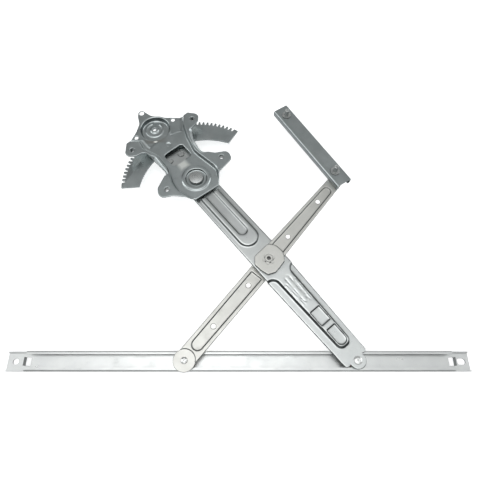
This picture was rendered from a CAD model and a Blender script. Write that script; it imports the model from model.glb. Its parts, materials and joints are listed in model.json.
import bpy
import json
from math import cos, radians
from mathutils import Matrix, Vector


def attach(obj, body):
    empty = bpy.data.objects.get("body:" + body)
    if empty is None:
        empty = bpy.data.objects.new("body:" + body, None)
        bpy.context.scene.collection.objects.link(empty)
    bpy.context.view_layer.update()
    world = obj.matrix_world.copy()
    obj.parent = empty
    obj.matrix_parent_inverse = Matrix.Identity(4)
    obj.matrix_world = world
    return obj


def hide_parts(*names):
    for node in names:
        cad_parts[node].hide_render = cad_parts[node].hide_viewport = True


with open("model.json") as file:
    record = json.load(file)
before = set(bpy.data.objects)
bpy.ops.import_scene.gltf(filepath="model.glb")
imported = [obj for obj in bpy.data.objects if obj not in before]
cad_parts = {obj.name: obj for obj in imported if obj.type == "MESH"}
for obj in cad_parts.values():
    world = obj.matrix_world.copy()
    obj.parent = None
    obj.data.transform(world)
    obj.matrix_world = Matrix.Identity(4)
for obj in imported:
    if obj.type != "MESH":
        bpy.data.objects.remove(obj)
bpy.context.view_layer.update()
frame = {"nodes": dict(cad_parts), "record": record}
nodes = frame["nodes"]
bodyOfNode = {}
for bodyName, members in frame["record"]["behaviour"]["bodies"].items():
    for member in members:
        bodyOfNode[member] = bodyName
print("frame loaded:", len(nodes), "nodes")


# helpers for pieces

mergeDistance = 0.000002


def deselectAll():
    if bpy.context.mode != "OBJECT":
        bpy.ops.object.mode_set(mode="OBJECT")
    bpy.ops.object.select_all(action="DESELECT")


def pick(piece):
    deselectAll()
    piece.select_set(True)
    bpy.context.view_layer.objects.active = piece


def copyOfNode(nodeName, pieceName):
    # the node's own mesh, with the corners that its faces share made one
    mesh = nodes[nodeName].data.copy()
    mesh.name = pieceName
    mesh.materials.clear()
    piece = bpy.data.objects.new(pieceName, mesh)
    bpy.context.scene.collection.objects.link(piece)
    pick(piece)
    bpy.ops.object.mode_set(mode="EDIT")
    bpy.ops.mesh.select_all(action="SELECT")
    bpy.ops.mesh.remove_doubles(threshold=mergeDistance)
    bpy.ops.object.mode_set(mode="OBJECT")
    return piece


def applyAll(piece):
    pick(piece)
    for modifier in list(piece.modifiers):
        bpy.ops.object.modifier_apply(modifier=modifier.name)


def finishPiece(piece, nodeName, smoothAngle, material):
    # shading and finish, then the piece takes the node's place and moves with its body
    pick(piece)
    bpy.ops.object.shade_smooth_by_angle(angle=radians(smoothAngle))
    piece.data.materials.append(material)
    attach(piece, bodyOfNode[nodeName])
    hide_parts(nodeName)
    print("finished", piece.name, len(piece.data.polygons), "faces")


# building blocks of the materials, all on Object coordinates

def clearedTree(owner):
    owner.use_nodes = True
    owner.node_tree.nodes.clear()
    return owner.node_tree


def feed(tree, socket, value):
    # a number or a colour is set on the socket, anything else is linked to it
    if isinstance(value, (int, float)):
        socket.default_value = value
    elif isinstance(value, tuple):
        socket.default_value = (*value, 1)
    else:
        tree.links.new(value, socket)


def mathNode(tree, operation, *values, clamp=False):
    node = tree.nodes.new("ShaderNodeMath")
    node.operation = operation
    node.use_clamp = clamp
    for socket, value in zip(node.inputs, values):
        feed(tree, socket, value)
    return node.outputs[0]


def mapRange(tree, value, span, newLow, newHigh):
    node = tree.nodes.new("ShaderNodeMapRange")
    node.inputs["From Min"].default_value = span[0]
    node.inputs["From Max"].default_value = span[1]
    node.inputs["To Min"].default_value = newLow
    node.inputs["To Max"].default_value = newHigh
    tree.links.new(value, node.inputs["Value"])
    return node.outputs["Result"]


def mixColours(tree, factor, first, second):
    node = tree.nodes.new("ShaderNodeMix")
    node.data_type = "RGBA"
    factorSocket = node.inputs[0]
    firstSocket = node.inputs[6]
    secondSocket = node.inputs[7]
    feed(tree, factorSocket, factor)
    feed(tree, firstSocket, first)
    feed(tree, secondSocket, second)
    return node.outputs[2]


def ramp(tree, value, stops):
    node = tree.nodes.new("ShaderNodeValToRGB")
    elements = node.color_ramp.elements
    while len(elements) < len(stops):
        elements.new(0.5)
    for element, (place, colour) in zip(elements, stops):
        element.position = place
        element.color = (*colour, 1)
    tree.links.new(value, node.inputs["Fac"])
    return node.outputs["Color"]


def objectSpace(tree, place=(0, 0), size=(1, 1, 1), turn=0.0):
    coords = tree.nodes.new("ShaderNodeTexCoord")
    mapping = tree.nodes.new("ShaderNodeMapping")
    mapping.vector_type = "TEXTURE"
    mapping.inputs["Location"].default_value = (*place, 0)
    mapping.inputs["Rotation"].default_value = (0, 0, radians(turn))
    mapping.inputs["Scale"].default_value = size
    tree.links.new(coords.outputs["Object"], mapping.inputs["Vector"])
    return mapping.outputs["Vector"]


def noise(tree, vector, scale, detail, roughness):
    node = tree.nodes.new("ShaderNodeTexNoise")
    node.inputs["Scale"].default_value = scale
    node.inputs["Detail"].default_value = detail
    node.inputs["Roughness"].default_value = roughness
    tree.links.new(vector, node.inputs["Vector"])
    return node.outputs["Fac"]


def splitAxes(tree, vector):
    node = tree.nodes.new("ShaderNodeSeparateXYZ")
    tree.links.new(vector, node.inputs["Vector"])
    return node.outputs


def steepness(tree):
    # the upward part of the surface's own direction: 1 on flats, 0 on upright walls
    coords = tree.nodes.new("ShaderNodeTexCoord")
    upward = splitAxes(tree, coords.outputs["Normal"])["Z"]
    return mathNode(tree, "ABSOLUTE", upward)


def areaMask(tree, area):
    # full inside a turned rectangle round a place on the piece, fading at its edge
    vector = objectSpace(tree, area["centre"], (*area["half"], 1), area["turn"])
    axes = splitAxes(tree, vector)
    along = mathNode(tree, "ABSOLUTE", axes["X"])
    across = mathNode(tree, "ABSOLUTE", axes["Y"])
    reach = mathNode(tree, "MAXIMUM", along, across)
    return mapRange(tree, reach, (1 - area["blur"], 1 + area["blur"]), area["depth"], 0.0)


def cloudedTint(tree, vector, look):
    # the finish's two colours in soft clouds
    clouds = noise(tree, vector, **look["clouds"])
    low, high = look["cloudSpan"]
    return ramp(tree, clouds, ((low, look["shade"]), (high, look["colour"])))


def wallWear(tree, tint, look):
    # the press thins and dulls the plating on steep walls and cut edges
    worn = mapRange(tree, steepness(tree), look["wallLimits"], 0.0, look["wallDepth"])
    return mixColours(tree, worn, tint, look["wallColour"])


def setRoughness(tree, shader, pattern, look):
    low, high = look["roughness"]
    rough = mapRange(tree, pattern, look["roughSpan"], low, high)
    tree.links.new(rough, shader.inputs["Roughness"])


def addBump(tree, shader, height, look):
    node = tree.nodes.new("ShaderNodeBump")
    node.inputs["Strength"].default_value = look["bumpStrength"]
    node.inputs["Distance"].default_value = look["bumpDistance"]
    tree.links.new(height, node.inputs["Height"])
    tree.links.new(node.outputs["Normal"], shader.inputs["Normal"])


def newMaterial(name):
    material = bpy.data.materials.new(name)
    tree = clearedTree(material)
    output = tree.nodes.new("ShaderNodeOutputMaterial")
    shader = tree.nodes.new("ShaderNodeBsdfPrincipled")
    tree.links.new(shader.outputs["BSDF"], output.inputs["Surface"])
    return material, tree, shader


def zincPlating(name, look):
    # zinc over rolled sheet: faint rolling lines, cloudy plating, small water marks
    material, tree, shader = newMaterial(name)
    plain = objectSpace(tree)
    rolled = objectSpace(tree, size=look["rollingSize"], turn=look["rollingTurn"])
    lines = noise(tree, rolled, **look["lines"])
    specks = noise(tree, plain, **look["specks"])
    marks = noise(tree, plain, **look["marks"])
    tint = cloudedTint(tree, plain, look)
    streak = mapRange(tree, lines, look["lineSpan"], 0.0, look["lineDepth"])
    tint = mixColours(tree, streak, tint, look["lineColour"])
    stain = mapRange(tree, marks, look["markSpan"], 0.0, look["markDepth"])
    tint = mixColours(tree, stain, tint, look["markColour"])
    tint = wallWear(tree, tint, look)
    shader.inputs["Metallic"].default_value = look["metallic"]
    for area in look["areas"]:
        mask = areaMask(tree, area)
        tint = mixColours(tree, mask, tint, area["colour"])
        if "metallic" in area:
            rubbed = mapRange(tree, mask, (0.0, 1.0), look["metallic"], area["metallic"])
            tree.links.new(rubbed, shader.inputs["Metallic"])
    tree.links.new(tint, shader.inputs["Base Color"])
    setRoughness(tree, shader, marks, look)
    addBump(tree, shader, mixColours(tree, look["lineShare"], specks, lines), look)
    return material


def turnedSteel(name, look):
    # headed or turned steel with fine machining marks
    material, tree, shader = newMaterial(name)
    plain = objectSpace(tree)
    grain = noise(tree, plain, **look["grain"])
    tint = wallWear(tree, cloudedTint(tree, plain, look), look)
    tree.links.new(tint, shader.inputs["Base Color"])
    shader.inputs["Metallic"].default_value = look["metallic"]
    setRoughness(tree, shader, grain, look)
    addBump(tree, shader, grain, look)
    return material


def mouldedPlastic(name, look):
    material, tree, shader = newMaterial(name)
    plain = objectSpace(tree)
    grain = noise(tree, plain, **look["grain"])
    tree.links.new(cloudedTint(tree, plain, look), shader.inputs["Base Color"])
    setRoughness(tree, shader, grain, look)
    shader.inputs["Subsurface Weight"].default_value = look["softness"]
    shader.inputs["Subsurface Scale"].default_value = look["softReach"]
    addBump(tree, shader, grain, look)
    return material


# zinc finishes: the plate, gear and guide rail are darker than the arms and the glass rail

darkZincLook = {
    "colour": (0.52, 0.555, 0.555),
    "shade": (0.42, 0.46, 0.46),
    "clouds": {"scale": 38, "detail": 5, "roughness": 0.6},
    "cloudSpan": (0.32, 0.68),
    "lineColour": (0.56, 0.60, 0.60),
    "lineDepth": 0.35,
    "lines": {"scale": 260, "detail": 3, "roughness": 0.7},
    "lineSpan": (0.3, 0.7),
    "rollingTurn": 20,
    "rollingSize": (1.0, 0.05, 0.4),
    "markColour": (0.31, 0.34, 0.33),
    "markDepth": 0.35,
    "marks": {"scale": 70, "detail": 6, "roughness": 0.7},
    "markSpan": (0.60, 0.74),
    "wallColour": (0.13, 0.145, 0.15),
    "wallLimits": (0.66, 0.50),
    "wallDepth": 0.9,
    "areas": (),
    "metallic": 1.0,
    "roughness": (0.27, 0.40),
    "roughSpan": (0.3, 0.7),
    "specks": {"scale": 1500, "detail": 2, "roughness": 0.5},
    "lineShare": 0.5,
    "bumpStrength": 0.25,
    "bumpDistance": 0.0002,
}
darkZinc = zincPlating("darkZinc", darkZincLook)

rubbedSpot = {
    "centre": (-0.0800, 0.0887),
    "half": (0.0068, 0.0058),
    "turn": 38,
    "blur": 0.45,
    "depth": 0.75,
    "colour": (0.84, 0.85, 0.80),
    "metallic": 0.25,
}
oilySpot = {
    "centre": (-0.124, 0.1315),
    "half": (0.0125, 0.0035),
    "turn": 4,
    "blur": 0.5,
    "depth": 0.6,
    "colour": (0.34, 0.31, 0.27),
}
plateZincLook = dict(darkZincLook)
plateZincLook["areas"] = (rubbedSpot, oilySpot)
plateZinc = zincPlating("plateZinc", plateZincLook)

armZincLook = dict(darkZincLook)
armZincLook.update({
    "colour": (0.70, 0.72, 0.71),
    "shade": (0.61, 0.63, 0.63),
    "lineColour": (0.76, 0.77, 0.75),
    "rollingTurn": 39.7,
    "markColour": (0.48, 0.50, 0.49),
    "wallColour": (0.09, 0.10, 0.10),
    "wallLimits": (0.975, 0.86),
    "roughness": (0.26, 0.38),
})
armZinc = zincPlating("armZinc", armZincLook)

halfArmLook = dict(armZincLook)
halfArmLook.update({
    "colour": (0.76, 0.755, 0.72),
    "shade": (0.67, 0.665, 0.63),
    "lineColour": (0.80, 0.79, 0.75),
    "rollingTurn": -40,
    "markColour": (0.50, 0.485, 0.45),
    "roughness": (0.38, 0.50),
})
halfArmZinc = zincPlating("halfArmZinc", halfArmLook)

railZincLook = dict(armZincLook)
railZincLook.update({
    "colour": (0.74, 0.75, 0.74),
    "shade": (0.66, 0.67, 0.67),
    "rollingTurn": 90,
    "wallLimits": (0.80, 0.50),
    "roughness": (0.26, 0.42),
})
railZinc = zincPlating("railZinc", railZincLook)


# steel of the rivets, studs, nuts and the staked centre bush

steelLook = {
    "colour": (0.72, 0.73, 0.71),
    "shade": (0.58, 0.60, 0.60),
    "clouds": {"scale": 160, "detail": 3, "roughness": 0.55},
    "cloudSpan": (0.35, 0.65),
    "wallColour": (0.10, 0.11, 0.11),
    "wallLimits": (0.70, 0.45),
    "wallDepth": 0.75,
    "metallic": 1.0,
    "roughness": (0.22, 0.42),
    "roughSpan": (0.3, 0.7),
    "grain": {"scale": 900, "detail": 4, "roughness": 0.6},
    "bumpStrength": 0.15,
    "bumpDistance": 0.0001,
}
steel = turnedSteel("headedSteel", steelLook)

pinLook = dict(steelLook)
pinLook.update({
    "colour": (0.93, 0.93, 0.91),
    "shade": (0.84, 0.85, 0.84),
    "roughness": (0.30, 0.42),
})
pinSteel = turnedSteel("rollerPinSteel", pinLook)

stakedLook = dict(steelLook)
stakedLook.update({
    "colour": (0.76, 0.755, 0.72),
    "shade": (0.66, 0.655, 0.62),
    "wallColour": (0.03, 0.03, 0.03),
    "wallLimits": (0.97, 0.80),
    "wallDepth": 0.95,
})
stakedSteel = turnedSteel("stakedSteel", stakedLook)


# plastic of the rollers, the pivot bush and the spacer

rollerLook = {
    "colour": (0.80, 0.78, 0.72),
    "shade": (0.72, 0.70, 0.64),
    "clouds": {"scale": 90, "detail": 3, "roughness": 0.55},
    "cloudSpan": (0.35, 0.65),
    "roughness": (0.38, 0.55),
    "roughSpan": (0.3, 0.7),
    "softness": 0.1,
    "softReach": 0.001,
    "grain": {"scale": 1200, "detail": 3, "roughness": 0.55},
    "bumpStrength": 0.1,
    "bumpDistance": 0.0001,
}
rollerPlastic = mouldedPlastic("rollerPolyamide", rollerLook)

bushLook = dict(rollerLook)
bushLook.update({
    "colour": (0.045, 0.045, 0.045),
    "shade": (0.03, 0.03, 0.03),
    "softness": 0.0,
})
bushPlastic = mouldedPlastic("bushPlastic", bushLook)
print("materials made")


# the sheet pieces, each with its own dictionary of values

def pressedSheet(nodeName, pieceName, values, material):
    # a pressed sheet piece, with the soft bends that a press leaves
    piece = copyOfNode(nodeName, pieceName)
    skin = piece.modifiers.new("evenSkin", "REMESH")
    skin.mode = "VOXEL"
    skin.voxel_size = values["cell"]
    applyAll(piece)
    soften = piece.modifiers.new("pressSoftness", "SMOOTH")
    soften.factor = values["softness"]
    soften.iterations = values["passes"]
    applyAll(piece)
    thin = piece.modifiers.new("fewerFaces", "DECIMATE")
    thin.ratio = values["keptFaces"]
    applyAll(piece)
    finishPiece(piece, nodeName, values["smoothAngle"], material)


def blankedSheet(nodeName, pieceName, values, material):
    # a flat blanked piece, with its cut edges broken
    piece = copyOfNode(nodeName, pieceName)
    bpy.ops.object.mode_set(mode="EDIT")
    bpy.ops.mesh.select_all(action="SELECT")
    bpy.ops.mesh.dissolve_limited(angle_limit=radians(values["flatAngle"]))
    bpy.ops.object.mode_set(mode="OBJECT")
    bevel = piece.modifiers.new("brokenEdges", "BEVEL")
    bevel.width = values["edge"]
    bevel.segments = values["segments"]
    bevel.limit_method = "ANGLE"
    bevel.angle_limit = radians(values["edgeAngle"])
    applyAll(piece)
    finishPiece(piece, nodeName, values["smoothAngle"], material)


basePlateValues = {"cell": 0.0006, "softness": 0.5, "passes": 10, "keptFaces": 0.6, "smoothAngle": 60}
pressedSheet("base_plate", "basePlatePressing", basePlateValues, plateZinc)

liftArmValues = {"cell": 0.0007, "softness": 0.5, "passes": 8, "keptFaces": 0.6, "smoothAngle": 60}
pressedSheet("lift_arm", "liftArmPressing", liftArmValues, armZinc)

halfArmValues = {"cell": 0.0005, "softness": 0.5, "passes": 6, "keptFaces": 0.6, "smoothAngle": 60}
for nodeName, pieceName in (("upper_arm", "upperArmPressing"), ("lower_arm", "lowerArmPressing")):
    pressedSheet(nodeName, pieceName, halfArmValues, halfArmZinc)

gearValues = {"flatAngle": 1.0, "edge": 0.0003, "segments": 2, "edgeAngle": 30, "smoothAngle": 20}
blankedSheet("sector_gear", "sectorGearBlank", gearValues, darkZinc)


# the pieces that keep their CAD form, by finish

keptNodes = (
    (railZinc, ("glass_rail",)),
    (darkZinc, ("guide_rail",)),
    (stakedSteel, ("centre_bush",)),
    (pinSteel, ("lift_roller_stud", "lower_roller_stud")),
    (steel, ("pivot_rivet", "pivot_washer", "guide_roller_stud", "guide_stud_1", "guide_stud_2")),
    (steel, ("sector_rivet_1", "sector_rivet_2", "sector_rivet_3")),
    (steel, ("weld_nut_1", "weld_nut_2", "weld_nut_3", "weld_nut_4")),
    (rollerPlastic, ("lift_roller", "lower_roller", "guide_roller")),
    (bushPlastic, ("pivot_bush", "centre_spacer")),
)
for material, nodeNames in keptNodes:
    for nodeName in nodeNames:
        part = nodes[nodeName]
        if not part.material_slots:
            part.data.materials.append(material)
        for slot in part.material_slots:
            slot.material = material
print("kept nodes finished")


# the floor: plain paper, lifted to white where it is looked at

def shownRays(tree):
    # one where the camera, or a reflection in metal, looks straight at the surface
    rays = tree.nodes.new("ShaderNodeLightPath")
    total = rays.outputs["Is Camera Ray"]
    for rayKind in ("Is Glossy Ray", "Is Transmission Ray"):
        total = mathNode(tree, "ADD", total, rays.outputs[rayKind], clamp=True)
    return total


floorValues = {"side": 1.8, "colour": (0.92, 0.92, 0.92), "level": -0.0001, "lift": 0.55}
deselectAll()
bpy.ops.mesh.primitive_plane_add(size=floorValues["side"], location=(0, 0, floorValues["level"]))
floor = bpy.context.object
floor.name = "studioFloor"
floorMaterial = bpy.data.materials.new("floorPaper")
tree = clearedTree(floorMaterial)
output = tree.nodes.new("ShaderNodeOutputMaterial")
paper = tree.nodes.new("ShaderNodeBsdfDiffuse")
paper.inputs["Color"].default_value = (*floorValues["colour"], 1)
glow = tree.nodes.new("ShaderNodeEmission")
glowLevel = mathNode(tree, "MULTIPLY", shownRays(tree), floorValues["lift"])
tree.links.new(glowLevel, glow.inputs["Strength"])
both = tree.nodes.new("ShaderNodeAddShader")
tree.links.new(paper.outputs[0], both.inputs[0])
tree.links.new(glow.outputs[0], both.inputs[1])
tree.links.new(both.outputs[0], output.inputs["Surface"])
floor.data.materials.append(floorMaterial)


# the light tent: each panel is a direction, with its brightness by degrees off that direction

tentTint = (0.975, 0.995, 1.0)
tentPanels = {
    "ceiling": {
        "towards": (0.0, -0.12, 0.99),
        "fall": (
            (0, 1.25),
            (20, 1.15),
            (25, 0.85),
            (31, 0.52),
            (37, 0.36),
            (43, 0.27),
            (52, 0.18),
            (90, 0.05),
        ),
    },
    "farSweep": {
        "towards": (0.05, 1.0, -0.05),
        "fall": ((0, 1.0), (18, 0.95), (30, 0.35), (45, 0.08), (60, 0.0)),
    },
    "leftBox": {
        "towards": (-0.82, 0.05, 0.57),
        "fall": ((0, 2.4), (13, 2.2), (20, 0.3), (26, 0.0)),
    },
    "rightBox": {
        "towards": (0.82, 0.20, 0.54),
        "fall": ((0, 2.4), (13, 2.2), (20, 0.3), (26, 0.0)),
    },
    "nearBox": {
        "towards": (0.0, -0.74, 0.68),
        "fall": ((0, 1.0), (12, 0.9), (22, 0.15), (28, 0.0)),
    },
}


def panelLight(tree, direction, panel, lightSoFar):
    # one panel's brightness in each direction, added to the light so far
    facing = tree.nodes.new("ShaderNodeVectorMath")
    facing.operation = "DOT_PRODUCT"
    facing.inputs[1].default_value = Vector(panel["towards"]).normalized()
    tree.links.new(direction, facing.inputs[0])
    peak = panel["fall"][0][1]
    stops = []
    for angle, brightness in reversed(panel["fall"]):
        stops.append((max(cos(radians(angle)), 0.0), (brightness / peak,) * 3))
    shade = ramp(tree, facing.outputs["Value"], stops)
    return mathNode(tree, "MULTIPLY_ADD", shade, peak, lightSoFar)


world = bpy.data.worlds.new("lightTent")
bpy.context.scene.world = world
tree = clearedTree(world)
output = tree.nodes.new("ShaderNodeOutputWorld")
coords = tree.nodes.new("ShaderNodeTexCoord")
tentLight = 0.0
for panel in tentPanels.values():
    tentLight = panelLight(tree, coords.outputs["Generated"], panel, tentLight)
sky = tree.nodes.new("ShaderNodeBackground")
sky.inputs["Color"].default_value = (*tentTint, 1)
tree.links.new(tentLight, sky.inputs["Strength"])
backdrop = tree.nodes.new("ShaderNodeBackground")
backdrop.inputs["Color"].default_value = (1, 1, 1, 1)
seen = tree.nodes.new("ShaderNodeLightPath")
choice = tree.nodes.new("ShaderNodeMixShader")
tree.links.new(seen.outputs["Is Camera Ray"], choice.inputs["Fac"])
tree.links.new(sky.outputs[0], choice.inputs[1])
tree.links.new(backdrop.outputs[0], choice.inputs[2])
tree.links.new(choice.outputs[0], output.inputs["Surface"])


# one soft lamp, and the camera

lampValues = {"place": (-0.25, -0.15, 1.5), "size": 1.0, "power": 2.5}
lampData = bpy.data.lights.new("softTop", "AREA")
lampData.energy = lampValues["power"]
lampData.size = lampValues["size"]
lamp = bpy.data.objects.new("softTop", lampData)
lamp.location = lampValues["place"]
lamp.rotation_euler = (-Vector(lampValues["place"])).to_track_quat("-Z", "Y").to_euler()
bpy.context.scene.collection.objects.link(lamp)

cameraValues = {
    "place": (0.0022, -0.2414, 0.5178),
    "tilt": 23.5,
    "lens": 30.0,
    "sensor": 36.0,
    "nearest": 0.01,
}
cameraData = bpy.data.cameras.new("viewCamera")
cameraData.lens = cameraValues["lens"]
cameraData.sensor_width = cameraValues["sensor"]
cameraData.clip_start = cameraValues["nearest"]
camera = bpy.data.objects.new("viewCamera", cameraData)
camera.location = cameraValues["place"]
camera.rotation_euler = (radians(cameraValues["tilt"]), 0, 0)
bpy.context.scene.collection.objects.link(camera)
bpy.context.scene.camera = camera
bpy.context.scene.view_settings.view_transform = "Standard"
print("floor, light and camera set")

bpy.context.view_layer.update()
deselectAll()
